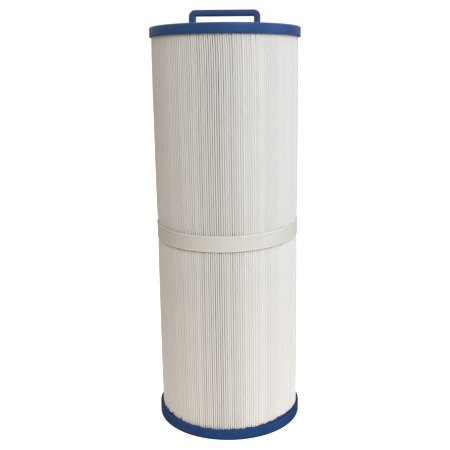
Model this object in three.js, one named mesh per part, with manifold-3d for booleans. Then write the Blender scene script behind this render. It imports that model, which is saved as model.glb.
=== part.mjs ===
// Pleated filter cartridge for a spa: two cast urethane end caps, a ring of pleated polyester
// round a perforated core, a retaining band and a carrying handle moulded into the top cap.
// The cartridge stands on its bottom cap: the underside of that cap is Z = 0 and its axis is Z.
import * as THREE from "three";
import { mergeVertices } from "three/addons/utils/BufferGeometryUtils.js";
import Module from "manifold-3d";

const wasm = await Module();
wasm.setup();

// Driving dimensions, in millimetres.
const BODY_HEIGHT = 338; // from the face of one end cap to the face of the other
const OVERALL_HEIGHT = 352; // to the top of the handle
const FIT = 0.3; // clearance between two pieces that meet

const CAP_RADIUS = 62.7;
const BOTTOM_CAP_HEIGHT = 9; // the height of the cap's side
const TOP_CAP_HEIGHT = 8;
const CAP_FLOOR = 5.5; // urethane between a cap's face and the ends of the pleats
const CAP_SOCKET_RADIUS = 61; // the rim stands round the pleats outside this radius
const CAP_FACE_ROUND = 1.6; // rounding of the edge between face and side
const CAP_RIM_ROUND = 0.7; // rounding of the top edge of the rim
const CAP_SIDES = 48;
const BORE_RADIUS = 27; // open bottom cap, which fits over a standpipe

const PLEATS = 210; // the last one is replaced by the bonded seam
const PLEAT_OUTER_RADIUS = 60.5;
const PLEAT_INNER_RADIUS = 31;
const OUTER_FOLD_WIDTH = 1.1; // across the outside of a fold at the outer radius
const INNER_FOLD_WIDTH = 0.7; // the same at the inner radius
const MEDIA_THICKNESS = 0.3; // through the tip of a fold

const SEAM_INNER_RADIUS = 32;
const SEAM_OUTER_RADIUS = 58;

const CORE_INNER_RADIUS = 27.5;
const CORE_OUTER_RADIUS = 30.5;
const CORE_SIDES = 16;
const CORE_SECTIONS = 3;
const SPIGOT_HEIGHT = 4; // the overlap where one core section plugs into the next
const WINDOW_WIDTH = 7.6;
const WINDOW_ROWS = 3;
const WINDOW_MARGIN = 8; // plain wall at each end of a section
const RING_HEIGHT = 4.6; // wall between two rows of windows

const PLUG_FLANGE = 1.2; // thickness of the flange that lies on the end of the core
const PLUG_DEPTH = 4; // how far the plug reaches into the core
const PLUG_RADIUS = 26.6;
const PLUG_SIDES = 32;

const BAND_CENTRE = 169.5;
const BAND_HEIGHT = 12.7;
const BAND_THICKNESS = 0.5;
const BAND_LAP_DEGREES = 20; // how far one end of the band lies over the other
const BAND_STEPS = 76;

const HANDLE_WIDTH = 58.5;
const HANDLE_DEPTH = 12; // across the strap, front to back
const HANDLE_LEG = 5.3;
const HANDLE_BAR = 4.4;
const HANDLE_OUTER_ROUND = 6;
const HANDLE_INNER_ROUND = 2;
const HANDLE_FLARE = 0.7; // each leg widens by this much where it meets the cap
const HANDLE_FLARE_HEIGHT = 4;
const ANCHOR_THICKNESS = 1.6; // plate at the foot of the legs, cast into the cap
const ANCHOR_HALF_WIDTH = 33;
const ANCHOR_HALF_DEPTH = 9;
const ANCHOR_BASE = BODY_HEIGHT - 4; // height of the plate's underside

// Heights that follow from the driving dimensions.
const PLEAT_BASE = CAP_FLOOR + FIT;
const PLEAT_TOP = BODY_HEIGHT - CAP_FLOOR - FIT;
const CORE_TOP = PLEAT_TOP - PLUG_FLANGE - FIT;
const ANCHOR_TOP = ANCHOR_BASE + ANCHOR_THICKNESS;

const URETHANE = new THREE.MeshStandardMaterial({ color: 0x2f4f86, roughness: 0.45, metalness: 0 });
const HANDLE_BLUE = new THREE.MeshStandardMaterial({ color: 0x34548c, roughness: 0.4, metalness: 0 });
const POLYESTER = new THREE.MeshStandardMaterial({ color: 0xd8d5ce, roughness: 0.9, metalness: 0 });
const BAND_WHITE = new THREE.MeshStandardMaterial({ color: 0xe0dcd3, roughness: 0.9, metalness: 0 });
const HOT_MELT = new THREE.MeshStandardMaterial({ color: 0xe6dfc8, roughness: 0.5, metalness: 0 });
const CORE_PLASTIC = new THREE.MeshStandardMaterial({ color: 0xe9e9e6, roughness: 0.5, metalness: 0 });

// A closed geometry as a solid for joining and cutting.
function solid(geometry) {
  const plain = geometry.clone();
  plain.deleteAttribute("normal");
  plain.deleteAttribute("uv");
  const merged = mergeVertices(plain);
  const mesh = new wasm.Mesh({
    numProp: 3,
    vertProperties: new Float32Array(merged.attributes.position.array),
    triVerts: new Uint32Array(merged.index.array),
  });
  return new wasm.Manifold(mesh);
}

// A solid back as a geometry with normals.
function geometryOf(body) {
  const mesh = body.getMesh();
  const geometry = new THREE.BufferGeometry();
  geometry.setAttribute("position", new THREE.BufferAttribute(mesh.vertProperties, 3));
  geometry.setIndex(new THREE.BufferAttribute(mesh.triVerts, 1));
  geometry.computeVertexNormals();
  return geometry;
}

function part(name, geometry, material) {
  const mesh = new THREE.Mesh(geometry, material);
  mesh.name = name;
  return mesh;
}

// A path of [radius, height] points turned round the Z axis.
function turned(points, sides) {
  const profile = points.map(([radius, height]) => new THREE.Vector2(radius, height));
  return new THREE.LatheGeometry(profile, sides).rotateX(Math.PI / 2);
}

// A shape in the XY plane raised from one height to another.
function raised(shape, base, top, curveSegments = 12) {
  const options = { depth: top - base, bevelEnabled: false, curveSegments };
  return new THREE.ExtrudeGeometry(shape, options).translate(0, 0, base);
}

function box(width, depth, height, x, y, z) {
  return new THREE.BoxGeometry(width, depth, height).translate(x, y, z);
}

function polar(radius, angle) {
  return new THREE.Vector2(radius * Math.cos(angle), radius * Math.sin(angle));
}

// Points round a quarter circle of a profile, from one angle to another.
function quarter(radius, height, round, from, to, steps = 2) {
  return Array.from({ length: steps + 1 }, (unused, step) => {
    const angle = THREE.MathUtils.degToRad(from + ((to - from) * step) / steps);
    return [radius + round * Math.cos(angle), height + round * Math.sin(angle)];
  });
}

// Half section of an end cap that stands on its face: a floor with a shallow socket above it for
// the ends of the pleats and the core, inside a low rim.
function capProfile(boreRadius, height) {
  const outside = [
    ...quarter(CAP_RADIUS - CAP_FACE_ROUND, CAP_FACE_ROUND, CAP_FACE_ROUND, -90, 0),
    ...quarter(CAP_RADIUS - CAP_RIM_ROUND, height - CAP_RIM_ROUND, CAP_RIM_ROUND, 0, 90),
  ];
  const socket = [
    [CAP_SOCKET_RADIUS, height],
    [CAP_SOCKET_RADIUS, CAP_FLOOR],
    [boreRadius, CAP_FLOOR],
  ];
  const start = [boreRadius, 0];
  const closing = boreRadius > 0 ? [start] : [];
  return [start, ...outside, ...socket, ...closing];
}

function bottomEndCap() {
  const profile = capProfile(BORE_RADIUS, BOTTOM_CAP_HEIGHT);
  return part("bottom_end_cap", turned(profile, CAP_SIDES), URETHANE);
}

// The top cap is closed, and keeps a pocket for the handle's legs and anchor plate.
function topEndCap() {
  const profile = capProfile(0, TOP_CAP_HEIGHT);
  const cap = turned(profile, CAP_SIDES).rotateX(Math.PI).translate(0, 0, BODY_HEIGHT);
  const plate = box(
    2 * (ANCHOR_HALF_WIDTH + FIT),
    2 * (ANCHOR_HALF_DEPTH + FIT),
    ANCHOR_THICKNESS + 2 * FIT,
    0,
    0,
    (ANCHOR_BASE + ANCHOR_TOP) / 2,
  );
  const slotWidth = HANDLE_LEG + 2 * FIT;
  const slotHeight = BODY_HEIGHT + FIT - ANCHOR_BASE;
  const slotCentre = (HANDLE_WIDTH - HANDLE_LEG) / 2;
  const slots = [-slotCentre, slotCentre].map((x) =>
    box(slotWidth, HANDLE_DEPTH + 2 * FIT, slotHeight, x, 0, ANCHOR_BASE + slotHeight / 2),
  );
  const pocket = solid(plate).add(solid(slots[0])).add(solid(slots[1]));
  return part("top_end_cap", geometryOf(solid(cap).subtract(pocket)), URETHANE);
}

// Outline of the handle seen from the front, with height as the second coordinate: a flat strap
// with two legs, each of which widens just above the cap.
function handleOutline() {
  const half = HANDLE_WIDTH / 2;
  const inner = half - HANDLE_LEG;
  const cap = BODY_HEIGHT + FIT;
  const flareTop = cap + HANDLE_FLARE_HEIGHT;
  const shoulder = OVERALL_HEIGHT - HANDLE_OUTER_ROUND;
  const barBase = OVERALL_HEIGHT - HANDLE_BAR;
  const corner = half - HANDLE_OUTER_ROUND;

  const outline = new THREE.Shape();
  outline.moveTo(-half, ANCHOR_BASE);
  outline.lineTo(half, ANCHOR_BASE);
  outline.lineTo(half, cap);
  outline.lineTo(half + HANDLE_FLARE, cap);
  outline.quadraticCurveTo(half, cap, half, flareTop);
  outline.lineTo(half, shoulder);
  outline.absarc(corner, shoulder, HANDLE_OUTER_ROUND, 0, Math.PI / 2);
  outline.lineTo(-corner, OVERALL_HEIGHT);
  outline.absarc(-corner, shoulder, HANDLE_OUTER_ROUND, Math.PI / 2, Math.PI);
  outline.lineTo(-half, flareTop);
  outline.quadraticCurveTo(-half, cap, -half - HANDLE_FLARE, cap);
  outline.lineTo(-half, cap);
  outline.closePath();

  const opening = new THREE.Path();
  const innerCorner = inner - HANDLE_INNER_ROUND;
  const innerShoulder = barBase - HANDLE_INNER_ROUND;
  opening.moveTo(-inner, ANCHOR_TOP);
  opening.lineTo(-inner, innerShoulder);
  opening.absarc(-innerCorner, innerShoulder, HANDLE_INNER_ROUND, Math.PI, Math.PI / 2, true);
  opening.lineTo(innerCorner, barBase);
  opening.absarc(innerCorner, innerShoulder, HANDLE_INNER_ROUND, Math.PI / 2, 0, true);
  opening.lineTo(inner, ANCHOR_TOP);
  opening.closePath();
  outline.holes.push(opening);
  return outline;
}

// The strap is as deep as HANDLE_DEPTH, and a plate joins its feet.
function handle() {
  const strap = raised(handleOutline(), -HANDLE_DEPTH / 2, HANDLE_DEPTH / 2, 5);
  strap.rotateX(Math.PI / 2);
  const plate = box(
    2 * ANCHOR_HALF_WIDTH,
    2 * ANCHOR_HALF_DEPTH,
    ANCHOR_THICKNESS,
    0,
    0,
    (ANCHOR_BASE + ANCHOR_TOP) / 2,
  );
  return part("handle", geometryOf(solid(strap).add(solid(plate))), HANDLE_BLUE);
}

// Section of the pleat ring: out along the tips and valleys of the outside, then back along the
// inside. It starts and ends at the seam, which faces the back.
function pleatSection() {
  const pitch = (2 * Math.PI) / PLEATS;
  const seamAngle = Math.PI / 2;
  const outerHalf = OUTER_FOLD_WIDTH / 2 / PLEAT_OUTER_RADIUS;
  const innerHalf = INNER_FOLD_WIDTH / 2 / PLEAT_INNER_RADIUS;
  const outside = [];
  const inside = [];
  for (let pleat = 1; pleat < PLEATS; pleat += 1) {
    const tip = seamAngle + pleat * pitch;
    const valley = tip + pitch / 2;
    outside.push(polar(PLEAT_OUTER_RADIUS, tip - outerHalf));
    outside.push(polar(PLEAT_OUTER_RADIUS, tip + outerHalf));
    inside.push(polar(PLEAT_OUTER_RADIUS - MEDIA_THICKNESS, tip));
    if (pleat < PLEATS - 1) {
      outside.push(polar(PLEAT_INNER_RADIUS + MEDIA_THICKNESS, valley));
      inside.push(polar(PLEAT_INNER_RADIUS, valley - innerHalf));
      inside.push(polar(PLEAT_INNER_RADIUS, valley + innerHalf));
    }
  }
  const firstEnd = seamAngle + pitch / 2;
  const lastEnd = seamAngle - pitch / 2;
  const start = [
    polar(PLEAT_INNER_RADIUS, firstEnd + innerHalf),
    polar(PLEAT_INNER_RADIUS, firstEnd),
  ];
  const finish = [
    polar(PLEAT_INNER_RADIUS, lastEnd),
    polar(PLEAT_INNER_RADIUS, lastEnd - innerHalf),
  ];
  return new THREE.Shape([...start, ...outside, ...finish, ...inside.reverse()]);
}

function pleatedMedia() {
  return part("pleated_media", raised(pleatSection(), PLEAT_BASE, PLEAT_TOP), POLYESTER);
}

// Wedge of adhesive that bonds the first leg of the pleated sheet to the last.
function mediaSeamBond() {
  const pitch = (2 * Math.PI) / PLEATS;
  const share = (radius) =>
    (radius - PLEAT_INNER_RADIUS) / (PLEAT_OUTER_RADIUS - PLEAT_INNER_RADIUS);
  // Half of the free width between the two end legs, less the clearance.
  const halfWidth = (radius) => {
    const outerGap = PLEAT_OUTER_RADIUS * pitch - OUTER_FOLD_WIDTH / 2;
    const innerGap = (PLEAT_INNER_RADIUS * pitch) / 2;
    return THREE.MathUtils.lerp(innerGap, outerGap, share(radius)) - FIT;
  };
  const inner = halfWidth(SEAM_INNER_RADIUS);
  const outer = halfWidth(SEAM_OUTER_RADIUS);
  const wedge = new THREE.Shape([
    new THREE.Vector2(-inner, SEAM_INNER_RADIUS),
    new THREE.Vector2(inner, SEAM_INNER_RADIUS),
    new THREE.Vector2(outer, SEAM_OUTER_RADIUS),
    new THREE.Vector2(-outer, SEAM_OUTER_RADIUS),
  ]);
  return part("media_seam_bond", raised(wedge, PLEAT_BASE, PLEAT_TOP), HOT_MELT);
}

// Half section of one length of core. Its lower end is bored out to take the spigot on the upper
// end of the length below it.
function coreProfile(base, top, hasSocket, hasSpigot) {
  const joint = (CORE_INNER_RADIUS + CORE_OUTER_RADIUS) / 2;
  const socket = [
    [CORE_INNER_RADIUS, base + SPIGOT_HEIGHT + FIT],
    [joint + FIT / 2, base + SPIGOT_HEIGHT + FIT],
    [joint + FIT / 2, base],
  ];
  const spigot = [
    [joint - FIT / 2, top],
    [joint - FIT / 2, top + SPIGOT_HEIGHT],
    [CORE_INNER_RADIUS, top + SPIGOT_HEIGHT],
  ];
  const foot = hasSocket ? socket : [[CORE_INNER_RADIUS, base]];
  const head = hasSpigot ? spigot : [[CORE_INNER_RADIUS, top]];
  return [...foot, [CORE_OUTER_RADIUS, base], [CORE_OUTER_RADIUS, top], ...head, foot[0]];
}

// Bars that cut one row of windows: each passes right through the core and cuts two of them.
function windowBars(centre, height) {
  const bars = [];
  for (let side = 0; side < CORE_SIDES / 2; side += 1) {
    const angle = ((side + 0.5) * 2 * Math.PI) / CORE_SIDES;
    const bar = new THREE.BoxGeometry(3 * CORE_OUTER_RADIUS, WINDOW_WIDTH, height);
    bars.push(solid(bar.rotateZ(angle).translate(0, 0, centre)));
  }
  return bars;
}

function coreSection(index) {
  const pitch = (CORE_TOP - PLEAT_BASE + FIT) / CORE_SECTIONS;
  const base = PLEAT_BASE + index * pitch;
  const top = base + pitch - FIT;
  const profile = coreProfile(base, top, index > 0, index < CORE_SECTIONS - 1);
  const windowZone = top - base - 2 * WINDOW_MARGIN;
  const windowHeight = (windowZone - (WINDOW_ROWS - 1) * RING_HEIGHT) / WINDOW_ROWS;
  let section = solid(turned(profile, CORE_SIDES));
  for (let row = 0; row < WINDOW_ROWS; row += 1) {
    const centre = base + WINDOW_MARGIN + windowHeight / 2 + row * (windowHeight + RING_HEIGHT);
    for (const bar of windowBars(centre, windowHeight)) {
      section = section.subtract(bar);
    }
  }
  return part("core_section_" + (index + 1), geometryOf(section), CORE_PLASTIC);
}

// The plug closes the top of the core, so that the casting doesn't run into it.
function corePlug() {
  const flangeBase = CORE_TOP + FIT;
  const profile = [
    [0, flangeBase - PLUG_DEPTH],
    [PLUG_RADIUS, flangeBase - PLUG_DEPTH],
    [PLUG_RADIUS, flangeBase],
    [CORE_OUTER_RADIUS, flangeBase],
    [CORE_OUTER_RADIUS, flangeBase + PLUG_FLANGE],
    [0, flangeBase + PLUG_FLANGE],
  ];
  return part("core_plug", turned(profile, PLUG_SIDES), CORE_PLASTIC);
}

// A flat strip wound once round the tips of the pleats. Its outer end climbs over its inner end
// and lies on it for a short lap, at the back.
function retainingBand() {
  const inner = PLEAT_OUTER_RADIUS + FIT;
  const lap = THREE.MathUtils.degToRad(BAND_LAP_DEGREES);
  const climb = BAND_THICKNESS + FIT;
  const start = Math.PI / 2 + lap / 2;
  const faces = { inside: [], outside: [] };
  const turn = 2 * Math.PI + lap;
  for (let step = 0; step <= BAND_STEPS; step += 1) {
    const swept = (turn * step) / BAND_STEPS;
    const rise = THREE.MathUtils.smoothstep(swept, 2 * Math.PI - lap, 2 * Math.PI);
    const radius = inner + climb * rise;
    faces.inside.push(polar(radius, start + swept));
    faces.outside.push(polar(radius + BAND_THICKNESS, start + swept));
  }
  const strip = new THREE.Shape([...faces.outside, ...faces.inside.reverse()]);
  const base = BAND_CENTRE - BAND_HEIGHT / 2;
  return part("retaining_band", raised(strip, base, base + BAND_HEIGHT), BAND_WHITE);
}

const cartridge = new THREE.Group();
cartridge.name = "filter_cartridge";
cartridge.add(bottomEndCap(), topEndCap(), handle());
cartridge.add(pleatedMedia(), mediaSeamBond(), retainingBand());
for (let index = 0; index < CORE_SECTIONS; index += 1) {
  cartridge.add(coreSection(index));
}
cartridge.add(corePlug());

export default cartridge;
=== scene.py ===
"""Looks for the pleated filter cartridge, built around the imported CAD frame. Units are metres."""

import math

import bmesh
import bpy
import numpy as np
from mathutils import Matrix, Vector


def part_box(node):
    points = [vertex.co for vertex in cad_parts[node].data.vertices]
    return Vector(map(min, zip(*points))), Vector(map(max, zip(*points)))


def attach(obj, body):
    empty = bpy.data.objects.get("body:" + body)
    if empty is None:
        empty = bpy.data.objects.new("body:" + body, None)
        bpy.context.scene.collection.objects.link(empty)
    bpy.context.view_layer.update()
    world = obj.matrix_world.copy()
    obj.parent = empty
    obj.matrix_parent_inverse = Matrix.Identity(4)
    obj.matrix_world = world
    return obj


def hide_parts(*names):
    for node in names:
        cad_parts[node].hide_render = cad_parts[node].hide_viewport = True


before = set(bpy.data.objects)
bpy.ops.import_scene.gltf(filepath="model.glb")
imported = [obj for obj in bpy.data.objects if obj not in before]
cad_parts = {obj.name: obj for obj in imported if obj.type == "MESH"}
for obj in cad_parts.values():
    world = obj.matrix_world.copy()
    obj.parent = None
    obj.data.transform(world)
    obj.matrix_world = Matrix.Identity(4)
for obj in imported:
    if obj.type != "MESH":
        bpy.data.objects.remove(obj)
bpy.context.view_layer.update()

BODY = "root"
MM = 0.001
SEED = 11
BACK = math.pi / 2  # the angle of the seam and of the band's lap
FRONT = -math.pi / 2
MOULDED_CREASE = math.radians(40)  # faces that turn by more meet in a sharp edge
SHEET_CREASE = math.radians(60)
BAND_CREASE = math.radians(50)

# Where the cartridge's pieces are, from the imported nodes.
BOTTOM_LOW, BOTTOM_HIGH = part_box("bottom_end_cap")
TOP_LOW, TOP_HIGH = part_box("top_end_cap")
MEDIA_LOW, MEDIA_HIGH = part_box("pleated_media")
BAND_LOW, BAND_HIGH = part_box("retaining_band")
HANDLE_LOW, HANDLE_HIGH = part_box("handle")
PLUG_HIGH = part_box("core_plug")[1]
CAP_RADIUS = BOTTOM_HIGH.x
MEDIA_RADIUS = MEDIA_HIGH.x

# The pleated sheet.
PLEATS = 210  # the last one is the bonded seam
PITCH = 2 * math.pi / PLEATS
MEDIA_INNER_RADIUS = 31 * MM
SHEET_THICKNESS = 0.42 * MM
FOLD_HALF_WIDTH = 0.53 * MM  # of the sheet's middle surface, at an outer fold
# In degrees from the front: where the slim folds are and their spread, then how much slimmer they
# are; and where the full folds begin, are full, begin to fade and end, then how much wider.
SLIM_FOLDS = (-6, 13, 0.04 * MM)
FULL_FOLDS = (5, 17, 100, 140, 0.12 * MM)
FOLD_HEIGHT = 0.12 * MM
LEG_HALF_WIDTH = 0.46 * MM  # of the same, where the legs bend
FOLD_SQUARENESS = 0.45  # 1 is round, and less is squarer
VALLEY_HALF_WIDTH = 0.235 * MM  # of the same, at an inner fold
LEG_BEND_RADIUS = 55 * MM  # where the legs have their one free bend
GAP_SPREAD = 0.22  # how uneven the gaps between the folds are
GAP_REACH = 8  # pleats on both sides over which the uneven gaps add up to nothing
LEAST_GAP = 0.05 * MM
WANDER = 0.03 * MM  # how far a fold strays sideways along its height
WANDER_REACH = 6  # pleats on both sides over which the strays add up to nothing
# The stations where a fold strays, each a share of the height and how many times as far.
WANDER_STATIONS = ((0, 2), (0.05, 1), (0.3, 1), (0.5, 0.5), (0.7, 1), (0.93, 1), (1, 3.5))
FOLD_DEPTH_SPREAD = 0.1 * MM
BULGE = 0.5 * MM  # how far the folds stand out halfway between the band and a cap
CURL = 4.2 * MM  # how far the outer folds are curled round, all one way
CURL_FADE = 34  # pleats on both sides of the seam over which they straighten up
SEAM_HOLD = 5  # pleats on both sides of the seam over which the folds come into line
LEVEL_EDGE = 5 * MM  # from a cap or the band to the sheet's next level
LEVEL_FREE = 16 * MM  # and to the level after that
FREE_LEVELS = 6  # evenly spaced levels above the band, and as many below it
TONE_MIDDLE = 0.35  # how dull the pleats are, from 0 to 1
TONE_SPREAD = 0.25
# Painted shade: the sheet is painted duller low down on the -X side: where that starts, and the
# span over which it grows.
SHADED_SIDE = (0.3, 0.5)  # in shares of the radius towards -X
SHADED_LOW = (50 * MM, 120 * MM)  # down from the sheet's upper edge

# The retaining band.
BAND_THICKNESS = 1.1 * MM
BAND_PINCH = 0.7 * MM  # how far it draws the folds in
BAND_BEAD = 0.2 * MM  # how far the fused edges stand out
BAND_LIP = 0.25 * MM  # how far the lower edge flares out
BAND_LIFT = (2.8 * MM, 0.6 * MM, 3.9 * MM)  # how much higher it is on the whole, at +X, at the back
BAND_LAP = math.radians(20)
BAND_CLIMB = math.radians(7)  # the turn in which its end climbs onto its start
BAND_STEPS = 480
BAND_BITE = 0.03 * MM  # how far the folds press into it, and the slack at its lap
# The waves of its lower edge, its upper edge and its face: steps that they are evened over, height.
BAND_WAVES = ((9, 0.35 * MM), (9, 0.35 * MM), (2, 0.05 * MM))
# Painted shade and highlight on the strip: how much duller it is at each point of its outline,
# which band_outline() gives, most on the lower lip and least at the upper edge, and its painted
# shade towards -X and +X: from what share of the radius, over what share, and how much.
BAND_OUTLINE_SHADE = (0, 0, 0.1, 0.3, 0.2, 0.15, 0.1, 0.1, 0.1, 0.1, 0, 0, 0, 0, 0)
BAND_SHADE_LEFT = (0.25, 0.65, 1)
BAND_SHADE_RIGHT = (0.6, 0.3, 0.5)

# The end caps.
FACE_ROUND = 1.7 * MM
RIM_ROUND = 0.4 * MM
BORE_RADIUS = 27 * MM
BORE_ROUND = 0.9 * MM
FACE_STEP = 0.3 * MM
CAP_STEPS = 420
GROOVE_DEPTH = 1.2 * MM
TOP_GROOVE_SHARE = 0.35  # of that depth, and of the climb, at the top cap
WICKS = ((-38, 38, 2.2 * MM), (-155, 25, 1.6 * MM))  # the side and spread in degrees, the height
WICK_NOISE = 0.45 * MM
WICK_REACH = 4  # steps on both sides over which that noise is evened out
WICK_INSET = 1.1  # mm in from the rim where the wicked surface is at its full height
CLIMB_POWER = 4  # more lets fewer gaps hold a high climb
BOTTOM_LAND = (34 * MM, 34.4 * MM, 56 * MM, 56.4 * MM)  # radii of the step in the bottom face
TOP_LAND = (53 * MM, 53.6 * MM)  # radii of the edge of the step in the top face
POLE_RADIUS = 1 * MM  # of the small lids on the axis of the top cap
PLUG_SLACK = 0.1 * MM  # between the core's plug and the top cap
FOOT_OFFSET = -0.2 * MM  # of the bottom cap from the pleats' axis
FOOT_SWELL = 1.005  # the bottom cap's radius, as a share of the nominal one
FOOT_ROUND = 0.9 * MM
RIM_RISE = (1.2 * MM, 0.5 * MM)  # how much higher its rim is at -X and at +X
TOP_OFFSET = 0.25 * MM  # of the top cap and its handle from the pleats' axis
TOP_SWELL = 0.995  # the top cap's radius, as a share of the nominal one
TOP_TILT = math.radians(0.5)  # of the top cap and its handle, down towards +X
# The free surface, which the pleats run into. Each row says how far in from the rim it is, what
# share of the groove's depth it has, and how far it may climb between the pleats (lengths in mm).
FREE_SURFACE = (
    (0.15, 0.25, 0.05),
    (0.4, 0.8, 0.1),
    (0.75, 1, 0.2),
    (1.3, 1, 0.5),
    (1.9, 1, 1.2),
    (2.6, 1, 5.0),
    (6.0, 1, 6.5),
)

# The handle, whose strap is swept along its middle line.
HANDLE_OUTER_WIDTH = 58.5 * MM
LEG_THICKNESS = 5.3 * MM
BAR_THICKNESS = 4.6 * MM
BAR_DROP = 0.3 * MM  # of its top below the top of the CAD's
STRAP_DEPTH = 12 * MM
STRAP_ROUND = 0.8 * MM
STRAP_CORNER = 2.9 * MM
OUTER_FLARE = 0.7 * MM
INNER_FLARE = 0.3 * MM
FLARE_HEIGHT = 5 * MM
FLARE_SHARES = (-0.7, 0, 0.12, 0.25, 0.4, 0.6, 0.8)  # stations up the flare; below 0 in the cap
CORNER_STEPS = 8
ANCHOR_THICKNESS = 1.6 * MM
ANCHOR_ROUND = 2 * MM
ANCHOR_CHAMFER = 0.3 * MM

# The perforated core.
CORE_SECTIONS = ("core_section_1", "core_section_2", "core_section_3")
CORE_INNER_RADIUS = 27.5 * MM
CORE_OUTER_RADIUS = 30.5 * MM
CORE_COLUMNS = 16
CORE_ROWS = 3
CORE_SPIGOT = 4 * MM
WINDOW_WIDTH = 7.6 * MM
WINDOW_ROUND = 1.5 * MM
WINDOW_MARGIN = 8 * MM
CORE_RING = 4.6 * MM
CORNER_SHARE = 0.45  # how far into a window's round corner its extra point is
CORE_SLACK = 0.15 * MM  # of a plugged joint, on each side
MERGE_DISTANCE = 0.002 * MM

# Surfaces: base colours as (pale or even, dull or deep).
PLEAT_WHITES = ((0.825, 0.81, 0.795), (0.725, 0.71, 0.695))
BAND_WHITES = ((0.755, 0.74, 0.695), (0.58, 0.565, 0.53))
TOP_BLUES = ((0.022, 0.080, 0.25), (0.018, 0.066, 0.215))
# Painted shade: the bottom cap is the same urethane as the top one, painted a darker blue for the
# shade low down by the floor.
SHADED_BOTTOM_BLUES = ((0.012, 0.062, 0.21), (0.009, 0.050, 0.18))
# Painted shade: the dark blue painted into the groove where the pleats run into a cap.
GROOVE_SHADE_BLUE = (0.003, 0.018, 0.085)
HANDLE_BLUES = ((0.030, 0.076, 0.22), (0.026, 0.067, 0.192))
CORE_WHITES = ((0.80, 0.80, 0.79), (0.74, 0.74, 0.73))
GLUE_YELLOWS = ((0.76, 0.70, 0.52), (0.70, 0.63, 0.44))
# Painted shade in the slots: the sheet is painted greyer deep between the folds, where shade falls.
SLOT_SHADE_DEPTHS = (1.9 * MM, 0.6 * MM)  # how far in from the folds the sheet is fully and not yet greyer
SLOT_SHADE_GREY = (0.19, 0.18, 0.175)
FIBRE_SCALE = 1500  # cells of the web of fibres in a metre
FIBRE_STRETCH = (1, 1, 0.45)  # less than 1 makes them longer

# The photograph's view.
CAMERA_PLACE = Vector((0.0269, -0.5916, 0.2983))
CAMERA_PITCH = math.radians(12.10)
CAMERA_YAW = math.radians(2.80)
CAMERA_ROLL = math.radians(-0.85)
CAMERA_LENS = 55.34
SENSOR_WIDTH = 36.0

# The studio: lamps as (watts, colour), and the colours of the room's light.
FLOOR_COLOUR = (0.80, 0.80, 0.80)
FLOOR_GRAIN = (0.77, 0.77, 0.765)
FLOOR_GLOW = 0.85
FLOOR_HALF_SIZE = 6.0
KEY = (11.0, (0.86, 0.975, 1.0))
KEY_PLACE = (0.58, -1.04, 1.05)
KEY_SIZE = (0.8, 0.8)
SIDE = (3.3, (0.64, 0.74, 1.0))
SIDE_PLACE = (1.15, -0.25, 0.4)
SIDE_SIZE = (0.4, 0.9)
LAMP_TARGET = (0, 0, 0.17)  # of both
BOUNCE = (1.42, (1.0, 0.90, 0.85))
BOUNCE_PLACE = (0, 0, 0.001)  # it faces straight up
BOUNCE_SIZE = (0.8, 0.8)
ROOM_ABOVE = (0.84, 0.745, 0.64)
ROOM_BEHIND = (1.0, 0.97, 0.93)
ROOM_BELOW = (0.03, 0.03, 0.03)
ROOM_HEIGHTS = (-0.25, 0.35)  # of the view's direction, from below to above
ROOM_DEPTHS = (0.0, 0.5)  # and from the room to the backdrop behind
BACKDROP_GLOW = 1.1


# ---------------------------------------------------------------- meshes


def mesh_piece(name, vertices, faces, material, crease=MOULDED_CREASE):
    """A piece of the cartridge from its vertices and faces, riding on the frame. Its edges are
    sharp where the faces on both sides turn by more than the crease."""
    mesh = bpy.data.meshes.new(name)
    mesh.from_pydata(np.asarray(vertices, float).tolist(), [], faces)
    mesh.validate()
    mesh.materials.append(material)
    piece = bpy.data.objects.new(name, mesh)
    bpy.context.scene.collection.objects.link(piece)
    mesh.polygons.foreach_set("use_smooth", [True] * len(mesh.polygons))
    mesh.set_sharp_from_angle(angle=crease)
    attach(piece, BODY)
    return piece


def grid_faces(rows, columns, wrap_rows=False, start=0):
    """Quads of a grid of vertices stored row after row, each row a closed loop."""
    faces = []
    for row in range(rows if wrap_rows else rows - 1):
        low = start + row * columns
        high = start + ((row + 1) % rows) * columns
        for column in range(columns):
            beside = (column + 1) % columns
            faces.append((low + column, low + beside, high + beside, high + column))
    return faces


def lidded(rows, columns, start=0):
    """Faces of a stack of closed loops with a lid on its first and last one."""
    first = tuple(start + column for column in reversed(range(columns)))
    last = tuple(start + (rows - 1) * columns + column for column in range(columns))
    return [*grid_faces(rows, columns, start=start), first, last]


def arc(radius, height, bend, start, end, steps):
    """Points of a profile round part of a circle, from one angle in degrees to another."""
    angles = np.radians(np.linspace(start, end, steps))
    return [(radius + bend * math.cos(a), height + bend * math.sin(a)) for a in angles]


def turned(profile, steps):
    """Vertices of a profile of (radius, height) turned round the Z axis, a row for each point."""
    angles = np.linspace(0, 2 * math.pi, steps, endpoint=False)
    rows = []
    for radius, height in profile:
        flat = [radius * np.cos(angles), radius * np.sin(angles), np.full(steps, height)]
        rows.append(np.stack(flat, axis=1))
    return np.concatenate(rows)


def ring_smoothed(values, reach):
    """Values round a ring, averaged with their neighbours on both sides."""
    padded = np.concatenate([values[-reach:], values, values[:reach]])
    width = 2 * reach + 1
    return np.convolve(padded, np.ones(width) / width, mode="valid")


def ramp(values, start, span):
    """0 up to a start, rising evenly over a span, and 1 beyond it."""
    return np.clip((values - start) / span, 0, 1)


def eased(share):
    """A share from 0 to 1 with a level start and end."""
    return share * share * (3 - 2 * share)


def set_values(piece, name, values):
    """Stores a number for each vertex, which a material reads by its name."""
    piece.data.attributes.new(name, "FLOAT", "POINT").data.foreach_set("value", values.ravel())


# ---------------------------------------------------------------- materials


def new_material(name, roughness):
    material = bpy.data.materials.new(name)
    material.use_nodes = True
    shader = material.node_tree.nodes["Principled BSDF"]
    shader.inputs["Roughness"].default_value = roughness
    return material, material.node_tree, shader


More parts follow.
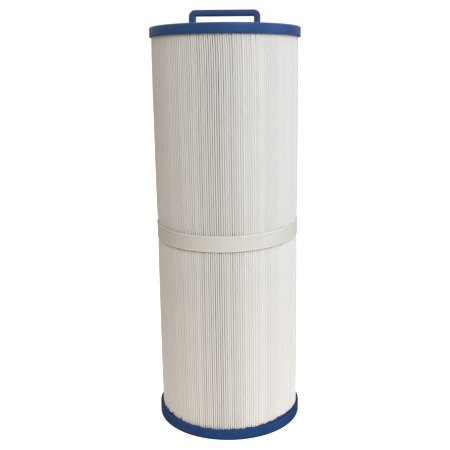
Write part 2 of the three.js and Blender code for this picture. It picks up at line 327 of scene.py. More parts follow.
def object_noise(tree, scale, detail, distortion=0.0):
    """Noise through the object, with features about 1/scale metres wide."""
    place = tree.nodes.new("ShaderNodeTexCoord")
    noise = tree.nodes.new("ShaderNodeTexNoise")
    noise.inputs["Scale"].default_value = scale
    noise.inputs["Detail"].default_value = detail
    noise.inputs["Distortion"].default_value = distortion
    tree.links.new(place.outputs["Object"], noise.inputs["Vector"])
    return noise.outputs["Fac"]


def object_cells(tree, scale, stretch):
    """Distance from a web of lines between random cells, which are about 1/scale metres wide."""
    place = tree.nodes.new("ShaderNodeTexCoord")
    mapping = tree.nodes.new("ShaderNodeMapping")
    mapping.inputs["Scale"].default_value = stretch
    cells = tree.nodes.new("ShaderNodeTexVoronoi")
    cells.feature = "DISTANCE_TO_EDGE"
    cells.inputs["Scale"].default_value = scale
    tree.links.new(place.outputs["Object"], mapping.inputs["Vector"])
    tree.links.new(mapping.outputs["Vector"], cells.inputs["Vector"])
    return cells.outputs["Distance"]


def axis_distance(tree):
    """Distance from the object's Z axis."""
    place = tree.nodes.new("ShaderNodeTexCoord")
    flat = tree.nodes.new("ShaderNodeMapping")
    flat.inputs["Scale"].default_value = (1, 1, 0)
    length = tree.nodes.new("ShaderNodeVectorMath")
    length.operation = "LENGTH"
    tree.links.new(place.outputs["Object"], flat.inputs["Vector"])
    tree.links.new(flat.outputs["Vector"], length.inputs[0])
    return length.outputs["Value"]


def ranged(tree, value, low, high, to_low=0.0, to_high=1.0):
    """A value carried from one range to another, and held inside it."""
    change = tree.nodes.new("ShaderNodeMapRange")
    change.inputs["From Min"].default_value = low
    change.inputs["From Max"].default_value = high
    change.inputs["To Min"].default_value = to_low
    change.inputs["To Max"].default_value = to_high
    tree.links.new(value, change.inputs["Value"])
    return change.outputs["Result"]


def mixed(tree, factor, first, second):
    """Colour between two others, each a socket or a fixed colour."""
    mix = tree.nodes.new("ShaderNodeMix")
    mix.data_type = "RGBA"
    tree.links.new(factor, mix.inputs["Factor"])
    for name, colour in (("A", first), ("B", second)):
        socket = next(s for s in mix.inputs if s.name == name and s.type == "RGBA")
        if isinstance(colour, bpy.types.NodeSocket):
            tree.links.new(colour, socket)
        else:
            socket.default_value = (*colour, 1)
    return next(s for s in mix.outputs if s.type == "RGBA")


def bumped(tree, shader, heights):
    """A chain of bumps: (height socket, strength, distance in metres)."""
    normal = None
    for height, strength, distance in heights:
        bump = tree.nodes.new("ShaderNodeBump")
        bump.inputs["Strength"].default_value = strength
        bump.inputs["Distance"].default_value = distance
        tree.links.new(height, bump.inputs["Height"])
        if normal:
            tree.links.new(normal, bump.inputs["Normal"])
        normal = bump.outputs["Normal"]
    tree.links.new(normal, shader.inputs["Normal"])


def spunbond(name, pale, dull):
    """Nonwoven polyester: a web of fine fibres, with thicker and thinner patches. Its "tone" value
    dulls it, for the pleats' own random dullness and for painted shade and highlight, and deep
    between the folds it is painted greyer as painted shade."""
    material, tree, shader = new_material(name, 0.85)
    shader.inputs["Specular IOR Level"].default_value = 0.25
    shader.inputs["Sheen Weight"].default_value = 0.08
    shader.inputs["Sheen Roughness"].default_value = 0.6
    patches = ranged(tree, object_noise(tree, scale=160, detail=3), 0.35, 0.7)
    web = object_cells(tree, FIBRE_SCALE, FIBRE_STRETCH)
    fibres = ranged(tree, web, 0.0, 0.25, to_low=0.0, to_high=0.5)
    colour = mixed(tree, patches, pale, dull)
    colour = mixed(tree, fibres, pale, colour)
    # The dulling value read here holds each pleat's own random dullness, and painted shade and
    # highlight.
    tone_and_shade = tree.nodes.new("ShaderNodeAttribute")
    tone_and_shade.attribute_name = "tone_and_shade"
    colour = mixed(tree, tone_and_shade.outputs["Fac"], colour, dull)
    # Painted shade: greyer deep in the slots between the folds, by distance from the axis.
    outer = ranged(tree, axis_distance(tree), MEDIA_RADIUS - SLOT_SHADE_DEPTHS[0], MEDIA_RADIUS - SLOT_SHADE_DEPTHS[1])
    colour = mixed(tree, outer, SLOT_SHADE_GREY, colour)
    tree.links.new(colour, shader.inputs["Base Color"])
    fuzz = object_noise(tree, scale=3800, detail=2)
    bumped(tree, shader, [(web, 0.35, 0.06 * MM), (fuzz, 0.3, 0.04 * MM)])
    return material


def moulded(name, colour, deep, roughness, grain, groove_shade=None):
    """Cast or moulded plastic: even colour with faint clouds, and a satin skin with fine grain.
    With a groove colour, the cap's "groove" value paints painted shade where the pleats run in.
    """
    material, tree, shader = new_material(name, roughness)
    shader.inputs["Specular IOR Level"].default_value = 0.25
    clouds = ranged(tree, object_noise(tree, scale=45, detail=4, distortion=0.6), 0.3, 0.72)
    specks = object_noise(tree, scale=900, detail=2)
    specks = ranged(tree, specks, 0.62, 0.8, to_low=0.0, to_high=0.25)
    tint = mixed(tree, specks, mixed(tree, clouds, colour, deep), deep)
    # Painted shade in the groove, where the pleats run into the cap.
    if groove_shade:
        depth = tree.nodes.new("ShaderNodeAttribute")
        depth.attribute_name = "groove_shade"
        tint = mixed(tree, depth.outputs["Fac"], tint, groove_shade)
    tree.links.new(tint, shader.inputs["Base Color"])
    wear = object_noise(tree, scale=240, detail=5)
    sheen = ranged(tree, wear, 0.3, 0.7, to_low=roughness - 0.06, to_high=roughness + 0.08)
    tree.links.new(sheen, shader.inputs["Roughness"])
    fine = object_noise(tree, scale=2600, detail=3)
    slow = object_noise(tree, scale=70, detail=1)
    bumped(tree, shader, [(slow, 0.25, 0.25 * MM), (fine, grain, 0.03 * MM)])
    return material


def make_materials():
    cast = {"roughness": 0.42, "grain": 0.15, "groove_shade": GROOVE_SHADE_BLUE}
    return {
        "pleats": spunbond("polyester_pleats", *PLEAT_WHITES),
        "band": spunbond("polyester_band", *BAND_WHITES),
        "top_cap": moulded("cast_urethane_top", *TOP_BLUES, **cast),
        "bottom_cap": moulded("cast_urethane_foot_shaded", *SHADED_BOTTOM_BLUES, **cast),
        "handle": moulded("handle_plastic", *HANDLE_BLUES, roughness=0.36, grain=0.2),
        "core": moulded("core_plastic", *CORE_WHITES, roughness=0.42, grain=0.2),
        "glue": moulded("hot_melt", *GLUE_YELLOWS, roughness=0.3, grain=0.1),
    }


# ---------------------------------------------------------------- the pleated sheet


def fold_half_widths():
    """Half widths of the outer folds: slim and open at the front, full and nearly touching to
    the right of it, and even elsewhere."""
    away = np.degrees(np.angle(np.exp(1j * (BACK - FRONT + np.arange(PLEATS) * PITCH))))
    place, spread, narrower = SLIM_FOLDS
    start, full, fading, end, wider = FULL_FOLDS
    widths = FOLD_HALF_WIDTH - narrower * np.exp(-(((away - place) / spread) ** 2))
    return widths + wider * np.interp(away, [start, full, fading, end], [0, 1, 1, 0])


def settled(shifts, half_widths):
    """Sideways shifts of the outer folds, opened where two folds would run into each other."""
    pitch = PITCH * MEDIA_RADIUS
    fold_widths = half_widths[1:] + half_widths[:-1] + SHEET_THICKNESS
    steps = np.maximum(np.diff(shifts) + pitch - fold_widths, LEAST_GAP) + fold_widths
    spread = np.concatenate([[0], np.cumsum(steps - steps.mean())])
    return spread - spread.mean() + shifts.mean()


def curl_of_folds():
    """The common curl of the outer folds, which fades out towards the seam."""
    pleat = np.arange(PLEATS)
    return CURL * eased(ramp(np.minimum(pleat, PLEATS - pleat), 0, CURL_FADE))


def fold_shifts(rng):
    """How far each outer fold stands to one side of its even place, measured along the tips."""
    pitch = PITCH * MEDIA_RADIUS
    mean_gap = pitch - 2 * FOLD_HALF_WIDTH - SHEET_THICKNESS
    gaps = np.exp(GAP_SPREAD * rng.normal(size=PLEATS))
    gaps = LEAST_GAP + gaps / gaps.mean() * (mean_gap - LEAST_GAP)
    drift = np.cumsum(gaps - mean_gap)
    return drift - ring_smoothed(drift, GAP_REACH)


def stray_at(rng, levels):
    """Sideways stray of each fold at each level: least at the band, and most at the caps."""
    span = MEDIA_HIGH.z - MEDIA_LOW.z
    heights = [MEDIA_LOW.z + share * span for share, _ in WANDER_STATIONS]
    strays = []
    for _, strength in WANDER_STATIONS:
        noise = rng.normal(size=PLEATS)
        strays.append(strength * WANDER * (noise - ring_smoothed(noise, WANDER_REACH)))
    strays = np.array(strays)
    return [
        np.array([np.interp(z, heights, strays[:, pleat]) for pleat in range(PLEATS)])
        for z in levels
    ]


def sheet_levels():
    """Heights of the mesh's rows: close together near the caps and the band."""
    low, high = MEDIA_LOW.z, MEDIA_HIGH.z
    edge, free = LEVEL_EDGE, LEVEL_FREE
    band = [BAND_LOW.z - edge, BAND_LOW.z, BAND_HIGH.z, BAND_HIGH.z + edge]
    lower = np.linspace(low + free, band[0] - free, FREE_LEVELS)
    upper = np.linspace(band[3] + free, high - free, FREE_LEVELS)
    return sorted([low, low + edge, *lower, *band, *upper, high - edge, high])


def band_lift(x, y):
    """How much higher than in the CAD the band is at a place: it isn't quite level."""
    whole, right, back = BAND_LIFT
    return whole + (right * x + back * y) / MEDIA_RADIUS


def bulge_at(z):
    """How far the folds stand out at a height: nothing at the caps, and drawn in by the band."""
    if BAND_LOW.z <= z <= BAND_HIGH.z:
        return -BAND_PINCH
    if z < BAND_LOW.z:
        share = (z - MEDIA_LOW.z) / (BAND_LOW.z - MEDIA_LOW.z)
    else:
        share = (MEDIA_HIGH.z - z) / (MEDIA_HIGH.z - BAND_HIGH.z)
    return BULGE * math.sqrt(max(math.sin(math.pi * share), 0))


def pleat_path(pleat, tip_shift, tip_radius, half_width):
    """Middle line of one pleat, as points of (angle, radius): up one leg, round the outer fold,
    down the other leg and across to the middle of the next valley."""
    centre = BACK + pleat * PITCH
    valley_radius = MEDIA_INNER_RADIUS + SHEET_THICKNESS / 2
    foot_radius = valley_radius + VALLEY_HALF_WIDTH
    fold_foot = tip_radius - SHEET_THICKNESS / 2 - FOLD_HEIGHT
    foot = PITCH * valley_radius / 2 - VALLEY_HALF_WIDTH

    def at(offset, radius):
        reach = (radius - valley_radius) / (tip_radius - valley_radius)
        return centre + (offset + tip_shift * reach * reach) / radius, radius

    fold = []
    for a in np.radians([180, 135, 90, 45, 0]):
        across = math.copysign(abs(math.cos(a)) ** FOLD_SQUARENESS, math.cos(a))
        rise = abs(math.sin(a)) ** FOLD_SQUARENESS
        fold.append(at(half_width * across, fold_foot + FOLD_HEIGHT * rise))
    first_leg = [at(-foot, foot_radius), at(-LEG_HALF_WIDTH, LEG_BEND_RADIUS)]
    second_leg = [at(LEG_HALF_WIDTH, LEG_BEND_RADIUS), at(foot, foot_radius)]
    return [*first_leg, *fold, *second_leg, (centre + PITCH / 2, valley_radius)]


def sheet_section(shifts, radii, half_widths):
    """The pleated sheet's closed outline at one height: along its outside, then back inside."""
    path = []
    for pleat in range(1, PLEATS):
        path += pleat_path(pleat, shifts[pleat], radii[pleat], half_widths[pleat])
    angle, radius = np.array(path[:-1]).T
    line = np.stack([radius * np.cos(angle), radius * np.sin(angle)], axis=1)
    tangent = np.gradient(line, axis=0)
    tangent /= np.linalg.norm(tangent, axis=1)[:, None]
    half = np.stack([tangent[:, 1], -tangent[:, 0]], axis=1) * SHEET_THICKNESS / 2
    return np.concatenate([line + half, (line - half)[::-1]]), line


def strip_faces(rows, columns):
    """Faces of a closed outline carried up through rows, and of its two long thin ends."""
    faces = grid_faces(rows, columns)
    last = (rows - 1) * columns
    for j in range(columns // 2 - 1):
        across, after = columns - 1 - j, columns - 2 - j
        faces.append((j + 1, j, across, after))
        faces.append((last + j, last + j + 1, last + after, last + across))
    return faces


def painted_shade_at(places):
    """How much painted shade dulls the sheet at each of its vertices, from 0 to 1: low down on the
    -X side.
    """
    x, y, z = places.T
    return ramp(-x / np.hypot(x, y), *SHADED_SIDE) * ramp(MEDIA_HIGH.z - z, *SHADED_LOW)


def make_media(material):
    rng = np.random.default_rng(SEED)
    levels = sheet_levels()
    base = fold_shifts(rng)
    strays = stray_at(rng, levels)
    radii = MEDIA_RADIUS - np.abs(rng.normal(0, FOLD_DEPTH_SPREAD, PLEATS))
    tones = np.clip(rng.normal(TONE_MIDDLE, TONE_SPREAD, PLEATS), 0, 1)
    curl = curl_of_folds()
    half_widths = fold_half_widths()
    near_seam = np.minimum(np.arange(PLEATS), PLEATS - np.arange(PLEATS))
    hold = ramp(near_seam, 1, SEAM_HOLD)
    band_reach = [MEDIA_LOW.z, BAND_LOW.z - LEVEL_EDGE, BAND_HIGH.z + LEVEL_EDGE, MEDIA_HIGH.z]
    rows = []
    for z, stray in zip(levels, strays):
        shifts = settled((base + stray) * hold + curl, half_widths) * hold
        section, line = sheet_section(shifts, radii + bulge_at(z), half_widths)
        follow = np.interp(z, band_reach, [0, 1, 1, 0])
        rows.append(np.column_stack([section, z + follow * band_lift(*section.T)]))
    columns = len(rows[0])
    vertices = np.concatenate(rows)
    faces = strip_faces(len(rows), columns)
    piece = mesh_piece("pleated_sheet", vertices, faces, material, SHEET_CREASE)
    points_per_pleat = len(pleat_path(0, 0, MEDIA_RADIUS, FOLD_HALF_WIDTH))
    one_side = np.repeat(tones[1:], points_per_pleat)[: columns // 2]
    tone_and_shade = np.tile(np.concatenate([one_side, one_side[::-1]]), len(rows))
    # The sheet's dulling value: each pleat's own random dullness, and painted shade low on the -X
    # side.
    set_values(piece, "tone_and_shade", 1 - (1 - tone_and_shade) * (1 - painted_shade_at(vertices)))
    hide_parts("pleated_media")


# ---------------------------------------------------------------- the retaining band


def band_outline(angle, swept, low_wave, high_wave, ripple):
    """Outline across the band at one place: its lower edge with the lip, its outer face, its
    upper edge with the fused bead, and its inner face, which closes it."""
    rise = eased(ramp(swept, 2 * math.pi - BAND_CLIMB, BAND_CLIMB))
    inner = MEDIA_RADIUS - BAND_PINCH - BAND_BITE + (BAND_THICKNESS + BAND_BITE) * rise
    outer = inner + BAND_THICKNESS
    low = BAND_LOW.z + low_wave
    high = BAND_HIGH.z + high_wave
    bead = BAND_BEAD
    points = [
        (inner, low + 0.1 * MM),
        (inner + 0.15 * MM, low),
        (outer + BAND_LIP * 0.7, low),
        (outer + BAND_LIP, low + 0.2 * MM),
        (outer + BAND_LIP * 0.6, low + 0.5 * MM),
        (outer + ripple, low + 1.1 * MM),
        (outer + ripple, low + 1.5 * MM),
        (outer + ripple, (low + high) / 2),
        (outer + ripple, high - 1.8 * MM),
        (outer + ripple, high - 1.4 * MM),
        (outer + bead, high - 0.9 * MM),
        (outer + bead * 0.8, high - 0.5 * MM),
        (outer - bead * 0.4, high),
        (inner + 0.15 * MM, high),
        (inner, high - 0.1 * MM),
    ]
    placed = []
    for radius, z in points:
        x, y = radius * math.cos(angle), radius * math.sin(angle)
        placed.append((x, y, z + band_lift(x, y)))
    return placed


def make_band(material):
    rng = np.random.default_rng(SEED + 1)
    turn = 2 * math.pi + BAND_LAP
    waves = []
    for reach, height in BAND_WAVES:
        waves.append(height * ring_smoothed(rng.normal(size=BAND_STEPS + 1), reach))
    rows = []
    for step in range(BAND_STEPS + 1):
        swept = turn * step / BAND_STEPS
        angle = BACK - BAND_LAP / 2 + swept
        rows += band_outline(angle, swept, *[wave[step] for wave in waves])
    columns = len(rows) // (BAND_STEPS + 1)
    faces = [face[::-1] for face in lidded(BAND_STEPS + 1, columns)]
    piece = mesh_piece("retaining_strip", rows, faces, material, BAND_CREASE)
    # Painted shade at both sides of the strip, and painted shade and highlight across its outline.
    side = np.array(rows)[::columns, 0] / MEDIA_RADIUS
    side_shade = np.zeros(len(side))
    for sign, (start, span, most) in ((-1, BAND_SHADE_LEFT), (1, BAND_SHADE_RIGHT)):
        side_shade += most * ramp(sign * side, start, span)
    set_values(piece, "tone_and_shade", 1 - np.outer(1 - side_shade, 1 - np.array(BAND_OUTLINE_SHADE)))
    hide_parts("retaining_band")


# ---------------------------------------------------------------- the end caps


def cap_outside(height, face_round):
    """Profile of a cap that stands on its face, from the edge of the face to the rim."""
    face_edge = arc(CAP_RADIUS - face_round, face_round, face_round, -90, 0, 7)
    rim = arc(CAP_RADIUS - RIM_ROUND, height - RIM_ROUND, RIM_ROUND, 0, 90, 6)
    return face_edge + rim


def free_surface(height, depth):
    """Profile of the surface that the pleats run into, from the rim inwards."""
    rim = CAP_RADIUS - RIM_ROUND
    return [(rim - inset * MM, height - share * depth) for inset, share, _ in FREE_SURFACE]


def climbing(vertices, first_row, rng, scale=1.0):
    """Lets the free surface climb between the pleats, more in some gaps than in others."""
    for row, (_, _, climb) in enumerate(FREE_SURFACE):
        lift = climb * scale * MM * rng.random(CAP_STEPS) ** CLIMB_POWER
        start = (first_row + row) * CAP_STEPS
        vertices[start : start + CAP_STEPS, 2] += lift
    return vertices


def wicked(vertices, first_row, rng):
    """Raises the free surface where the pleats have drawn the urethane up, most at two sides."""
    angles = np.linspace(0, 2 * math.pi, CAP_STEPS, endpoint=False)
    rise = WICK_NOISE * np.abs(ring_smoothed(rng.normal(size=CAP_STEPS), WICK_REACH))
    for side, spread, height in WICKS:
        away = np.angle(np.exp(1j * (angles - math.radians(side))))
        rise += height * np.exp(-((away / math.radians(spread)) ** 2))
    for row, (inset, share, _) in enumerate(FREE_SURFACE):
        if share == 1:
            start = (first_row + row) * CAP_STEPS
            vertices[start : start + CAP_STEPS, 2] += rise * min(1, inset / WICK_INSET)
    return vertices


def paint_groove_shade(piece, rows, first_row):
    """Gives the cap a "groove" value for painted shade: its share of the depth where the pleats run
    in, up to 1 where the urethane is painted darkest.
    """
    values = np.zeros((rows, CAP_STEPS))
    for row, (_, share, _) in enumerate(FREE_SURFACE):
        values[first_row + row] = share
    set_values(piece, "groove_shade", values)


def make_bottom_cap(material):
    """The open cap: a ring whose bore goes over the standpipe."""
    rng = np.random.default_rng(SEED + 2)
    height = BOTTOM_HIGH.z - BOTTOM_LOW.z
    outside = cap_outside(height, FOOT_ROUND)
    surface = free_surface(height, GROOVE_DEPTH)
    floor = height - GROOVE_DEPTH
    bore_top = arc(BORE_RADIUS + BORE_ROUND, floor - BORE_ROUND, BORE_ROUND, 90, 180, 5)
    bore_foot = arc(BORE_RADIUS + BORE_ROUND, BORE_ROUND, BORE_ROUND, 180, 270, 5)
    land = list(zip(BOTTOM_LAND, (0, FACE_STEP, FACE_STEP, 0)))
    profile = outside + surface + bore_top + bore_foot + land
    vertices = climbing(turned(profile, CAP_STEPS), len(outside), rng)
    vertices = wicked(vertices, len(outside), rng)
    side = vertices[:, 0] / CAP_RADIUS
    upper = vertices[:, 2] > height / 2
    vertices[:, 2] += upper * np.where(side < 0, *RIM_RISE) * side * side
    vertices[:, :2] *= FOOT_SWELL
    vertices[:, 0] += FOOT_OFFSET
    faces = grid_faces(len(profile), CAP_STEPS, wrap_rows=True)
    piece = mesh_piece("bottom_cap", vertices, faces, material)
    paint_groove_shade(piece, len(profile), len(outside))
    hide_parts("bottom_end_cap")


def tilted(vertices):
    """Vertices of the top end, placed as it was cast: a little out of line with the pleats."""
    middle = np.array([0, 0, TOP_HIGH.z])
    turn = np.array(Matrix.Rotation(TOP_TILT, 3, "Y"))
    return (np.asarray(vertices) - middle) @ turn.T + middle + np.array([TOP_OFFSET, 0, 0])


def make_top_cap(material):
    """The closed cap, which is the open one turned over and filled in."""
    rng = np.random.default_rng(SEED + 3)
    height = TOP_HIGH.z - TOP_LOW.z
    outside = cap_outside(height, FACE_ROUND)
    seat = TOP_HIGH.z - PLUG_HIGH.z - PLUG_SLACK
    depth = GROOVE_DEPTH * TOP_GROOVE_SHARE
    floor = height - depth
    inside = [(MEDIA_INNER_RADIUS, floor), (MEDIA_INNER_RADIUS, seat), (POLE_RADIUS, seat)]
    face = [(POLE_RADIUS, FACE_STEP), (TOP_LAND[0], FACE_STEP), (TOP_LAND[1], 0)]
    profile = face + outside + free_surface(height, depth) + inside
    first = len(face) + len(outside)
    vertices = climbing(turned(profile, CAP_STEPS), first, rng, TOP_GROOVE_SHARE)
    vertices[:, 2] = TOP_HIGH.z - vertices[:, 2]
    vertices[:, 1] *= -1
    vertices[:, :2] *= TOP_SWELL
    faces = lidded(len(profile), CAP_STEPS)
    piece = mesh_piece("top_cap", tilted(vertices), faces, material)
    paint_groove_shade(piece, len(profile), first)
    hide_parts("top_end_cap")


# ---------------------------------------------------------------- the handle


def rounded_outline(width, depth, bend, steps=6):
    """Points round a rectangle with round corners."""
    points = []
    for side, (x, y) in enumerate([(1, 1), (-1, 1), (-1, -1), (1, -1)]):
        centre = (x * (width / 2 - bend), y * (depth / 2 - bend))
        for a in np.radians(np.linspace(90 * side, 90 * side + 90, steps)):
            points.append((centre[0] + bend * math.cos(a), centre[1] + bend * math.sin(a)))
    return points


def strap_path():
    """Stations along the strap's middle line: (x, z, direction in the XZ plane, thickness)."""
    side = (HANDLE_OUTER_WIDTH - LEG_THICKNESS) / 2
    top = HANDLE_HIGH.z - BAR_DROP - BAR_THICKNESS / 2
    shoulder = top - STRAP_CORNER
    upright = math.pi / 2
    half = []
    for share in FLARE_SHARES:
        spread = (1 - max(share, 0)) ** 2
        x = -side - (OUTER_FLARE - INNER_FLARE) / 2 * spread
        thick = LEG_THICKNESS + (OUTER_FLARE + INNER_FLARE) * spread
        half.append((x, TOP_HIGH.z + share * FLARE_HEIGHT, upright, thick))
    for share in np.linspace(0, 1, CORNER_STEPS):
        turn = share * upright
        x = -side + STRAP_CORNER * (1 - math.cos(turn))
        z = shoulder + STRAP_CORNER * math.sin(turn)
        thick = LEG_THICKNESS + (BAR_THICKNESS - LEG_THICKNESS) * share
        half.append((x, z, upright - turn, thick))
    half.append((-side / 2, top, 0, BAR_THICKNESS))
    mirrored = [(-x, z, -direction, thick) for x, z, direction, thick in reversed(half)]
    return half + [(0, top, 0, BAR_THICKNESS)] + mirrored


def anchor_plate():
    """Loops of the plate on the strap's feet, which is cast into the cap, with chamfered edges."""
    low, chamfer, thickness = HANDLE_LOW.z, ANCHOR_CHAMFER, ANCHOR_THICKNESS
    width = HANDLE_HIGH.x - HANDLE_LOW.x
    depth = HANDLE_HIGH.y - HANDLE_LOW.y
    levels = [(0, chamfer), (chamfer, 0), (thickness - chamfer, 0), (thickness, chamfer)]
    points = []
    for height, inset in levels:
        for x, y in rounded_outline(width - 2 * inset, depth - 2 * inset, ANCHOR_ROUND):
            points.append((x, y, low + height))
    return points, len(levels)


def make_handle(material):
    rows = []
    for x, z, direction, thick in strap_path():
        across = (-math.sin(direction), math.cos(direction))
        for offset, y in rounded_outline(thick, STRAP_DEPTH, STRAP_ROUND):
            rows.append((x + across[0] * offset, y, z + across[1] * offset))
    columns = len(rounded_outline(1, 1, 0.1))
    faces = [face[::-1] for face in lidded(len(rows) // columns, columns)]
    plate, levels = anchor_plate()
    faces += lidded(levels, columns, start=len(rows))
    vertices = tilted(rows + plate)
    piece = mesh_piece("strap_handle", vertices, faces, material)
    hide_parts("handle")


# ---------------------------------------------------------------- the core


def spaced(half, bend):
    """Places along a side of a window or of its frame, closer together at the round corners."""
    near = half - CORNER_SHARE * bend
    return [-half, -near, -(half - bend), 0, half - bend, near, half]


def around(across, up):
    """Points round a rectangle, given the places along its two sides."""
    low, high, left, right = up[0], up[-1], across[0], across[-1]
    points = [(x, low) for x in across[:-1]]
    points += [(right, z) for z in up[:-1]]
    points += [(x, high) for x in reversed(across[1:])]
    points += [(left, z) for z in reversed(up[1:])]
    return points


def with_round_corner(point, half_width, half_height, bend):
    """A point of a rectangle's outline, pulled in where the corner is round."""
    x, z = point
    inner_x = min(max(x, bend - half_width), half_width - bend)
    inner_z = min(max(z, bend - half_height), half_height - bend)
    away = math.hypot(x - inner_x, z - inner_z)
    return inner_x + (x - inner_x) * bend / away, inner_z + (z - inner_z) * bend / away


def window_cell(angle, height, half_height, half_cell):
    """Points and faces of one window and the wall round it: its outside, inside and edges."""
    half_turn = math.pi / CORE_COLUMNS * CORE_OUTER_RADIUS
    across = np.array(spaced(WINDOW_WIDTH / 2, WINDOW_ROUND))
    up = np.array(spaced(half_height, WINDOW_ROUND))
    frame_points = around(across * half_turn / across[-1], up * half_cell / up[-1])
    window = around(across, up)
    window = [with_round_corner(p, WINDOW_WIDTH / 2, half_height, WINDOW_ROUND) for p in window]
    points = []
    for radius in (CORE_OUTER_RADIUS, CORE_INNER_RADIUS):
        for x, z in frame_points + window:
            a = angle + x / CORE_OUTER_RADIUS
            points.append((radius * math.cos(a), radius * math.sin(a), height + z))
    count = len(window)
    faces = []
    for i in range(count):
        j = (i + 1) % count
        faces.append((i, j, count + j, count + i))
        faces.append((2 * count + j, 2 * count + i, 3 * count + i, 3 * count + j))
        faces.append((count + i, count + j, 3 * count + j, 3 * count + i))
    return points, faces


def end_wall(profile):
    """Points and faces of the plain wall at one end of a section, between two rows of windows."""
    half_turn = math.pi / CORE_COLUMNS
    across = np.array(spaced(WINDOW_WIDTH / 2, WINDOW_ROUND)[:-1])
    across *= half_turn / (WINDOW_WIDTH / 2)
    angles = [2 * half_turn * (column + 0.5) + a for column in range(CORE_COLUMNS) for a in across]
    points = [(r * math.cos(a), r * math.sin(a), z) for r, z in profile for a in angles]
    return points, grid_faces(len(profile), len(angles))


def core_walls(low, high, spigot, socket):
    """Profiles of both plain ends of a section, and the height where its windows start and end."""
    inner, outer = CORE_INNER_RADIUS, CORE_OUTER_RADIUS
    joint, slack = (inner + outer) / 2, CORE_SLACK
    first = low + WINDOW_MARGIN - CORE_RING / 2
    shoulder = high - CORE_SPIGOT if spigot else high
    last = shoulder - WINDOW_MARGIN + CORE_RING / 2
    seat = low + CORE_SPIGOT + 2 * slack
    bored = [(inner, seat), (joint + slack, seat), (joint + slack, low)]
    plugged = [(joint - slack, shoulder), (joint - slack, high), (inner, high)]
    foot = [(inner, first), *(bored if socket else [(inner, low)]), (outer, low), (outer, first)]
    head = [(outer, last), (outer, shoulder), *(plugged if spigot else [(inner, high)])]
    return foot, [*head, (inner, last)], first, last


def make_core_section(index, material):
    node = CORE_SECTIONS[index]
    low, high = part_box(node)
    is_last = index == len(CORE_SECTIONS) - 1
    foot, head, first, last = core_walls(low.z, high.z, not is_last, index > 0)
    half_cell = (last - first) / CORE_ROWS / 2
    parts = [end_wall(foot), end_wall(head)]
    for row in range(CORE_ROWS):
        height = first + (2 * row + 1) * half_cell
        for column in range(CORE_COLUMNS):
            angle = 2 * math.pi * (column + 0.5) / CORE_COLUMNS
            parts.append(window_cell(angle, height, half_cell - CORE_RING / 2, half_cell))
    vertices, faces = [], []
    for points, cell_faces in parts:
        start = len(vertices)
        vertices += points
        faces += [tuple(start + i for i in face) for face in cell_faces]
    piece = mesh_piece(node.replace("section", "tube"), vertices, faces, material)
    joined = bmesh.new()
    joined.from_mesh(piece.data)
    bmesh.ops.remove_doubles(joined, verts=joined.verts, dist=MERGE_DISTANCE)
    joined.to_mesh(piece.data)
    joined.free()
    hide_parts(node)


# ---------------------------------------------------------------- the stage


def make_floor():
    """A plain pale studio floor. It glows, and throws no light back at the cartridge."""
    half = FLOOR_HALF_SIZE
    corners = [(-half, -half, 0), (half, -half, 0), (half, half, 0), (-half, half, 0)]
    mesh = bpy.data.meshes.new("studio_floor")
    mesh.from_pydata(corners, [], [(0, 1, 2, 3)])
    material, tree, shader = new_material("pale_paper", 0.9)
    shader.inputs["Specular IOR Level"].default_value = 0.1
    shader.inputs["Emission Color"].default_value = (1, 1, 1, 1)
    shader.inputs["Emission Strength"].default_value = FLOOR_GLOW
    grain = ranged(tree, object_noise(tree, scale=30, detail=3), 0.3, 0.7)
    colour = mixed(tree, grain, FLOOR_COLOUR, FLOOR_GRAIN)
    tree.links.new(colour, shader.inputs["Base Color"])
    mesh.materials.append(material)
    floor = bpy.data.objects.new("studio_floor", mesh)
    floor.visible_diffuse = False
    floor.visible_glossy = False
    bpy.context.scene.collection.objects.link(floor)


def aim(place, target):
    """Matrix of a lamp at a place, pointing at a target."""
    turn = (Vector(target) - Vector(place)).to_track_quat("-Z", "Y")
    return Matrix.Translation(Vector(place)) @ turn.to_matrix().to_4x4()


def area_light(name, place, target, size, power, colour):
    lamp = bpy.data.lights.new(name, "AREA")
    lamp.shape = "RECTANGLE"
    lamp.size, lamp.size_y = size
    lamp.energy = power
    lamp.color = colour
    piece = bpy.data.objects.new(name, lamp)
    piece.matrix_world = aim(place, target)
    bpy.context.scene.collection.objects.link(piece)
    return piece


def make_lights():
    area_light("key_softbox", KEY_PLACE, LAMP_TARGET, KEY_SIZE, *KEY)
    area_light("side_softbox", SIDE_PLACE, LAMP_TARGET, SIDE_SIZE, *SIDE)
    bounce = area_light("floor_bounce", BOUNCE_PLACE, (0, 0, 1), BOUNCE_SIZE, *BOUNCE)
    bounce.visible_camera = False
    bounce.visible_glossy = False


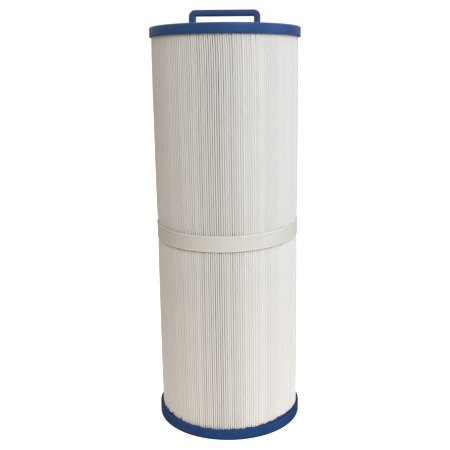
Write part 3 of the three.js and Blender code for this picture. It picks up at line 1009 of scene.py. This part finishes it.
def make_world():
    """Warm room light from above, a pale backdrop behind, and white where the camera looks."""
    world = bpy.data.worlds.new("studio")
    bpy.context.scene.world = world
    world.use_nodes = True
    tree = world.node_tree
    tree.nodes.clear()
    place = tree.nodes.new("ShaderNodeTexCoord")
    split = tree.nodes.new("ShaderNodeSeparateXYZ")
    tree.links.new(place.outputs["Generated"], split.inputs["Vector"])
    height = ranged(tree, split.outputs["Z"], *ROOM_HEIGHTS)
    behind = ranged(tree, split.outputs["Y"], *ROOM_DEPTHS)
    upper = mixed(tree, behind, ROOM_ABOVE, ROOM_BEHIND)
    room = tree.nodes.new("ShaderNodeBackground")
    tree.links.new(mixed(tree, height, ROOM_BELOW, upper), room.inputs["Color"])
    backdrop = tree.nodes.new("ShaderNodeBackground")
    backdrop.inputs["Color"].default_value = (1, 1, 1, 1)
    backdrop.inputs["Strength"].default_value = BACKDROP_GLOW
    rays = tree.nodes.new("ShaderNodeLightPath")
    mix = tree.nodes.new("ShaderNodeMixShader")
    output = tree.nodes.new("ShaderNodeOutputWorld")
    tree.links.new(rays.outputs["Is Camera Ray"], mix.inputs["Fac"])
    tree.links.new(room.outputs["Background"], mix.inputs[1])
    tree.links.new(backdrop.outputs["Background"], mix.inputs[2])
    tree.links.new(mix.outputs["Shader"], output.inputs["Surface"])


def make_camera():
    """The photograph's camera: a little lower than the top cap, looking a little down."""
    level_right = Vector((math.cos(CAMERA_YAW), math.sin(CAMERA_YAW), 0))
    ahead = Vector((-math.sin(CAMERA_YAW), math.cos(CAMERA_YAW), 0))
    forward = ahead * math.cos(CAMERA_PITCH) - Vector((0, 0, math.sin(CAMERA_PITCH)))
    level_up = level_right.cross(forward)
    right = level_right * math.cos(CAMERA_ROLL) + level_up * math.sin(CAMERA_ROLL)
    up = level_up * math.cos(CAMERA_ROLL) - level_right * math.sin(CAMERA_ROLL)
    lens = bpy.data.cameras.new("photo_view")
    lens.lens = CAMERA_LENS
    lens.sensor_width = SENSOR_WIDTH
    camera = bpy.data.objects.new("photo_view", lens)
    axes = Matrix((right, up, -forward)).transposed().to_4x4()
    camera.matrix_world = Matrix.Translation(CAMERA_PLACE) @ axes
    bpy.context.scene.collection.objects.link(camera)
    bpy.context.scene.camera = camera


def give_material(node, material):
    """Puts a material on a CAD node that stays as it is."""
    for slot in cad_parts[node].material_slots:
        slot.material = material


# ---------------------------------------------------------------- the scene


make_camera()
make_world()
make_lights()
make_floor()
bpy.context.scene.view_settings.view_transform = "Standard"

materials = make_materials()
make_bottom_cap(materials["bottom_cap"])
make_top_cap(materials["top_cap"])
make_media(materials["pleats"])
make_band(materials["band"])
make_handle(materials["handle"])
for index in range(len(CORE_SECTIONS)):
    make_core_section(index, materials["core"])
give_material("core_plug", materials["core"])
give_material("media_seam_bond", materials["glue"])
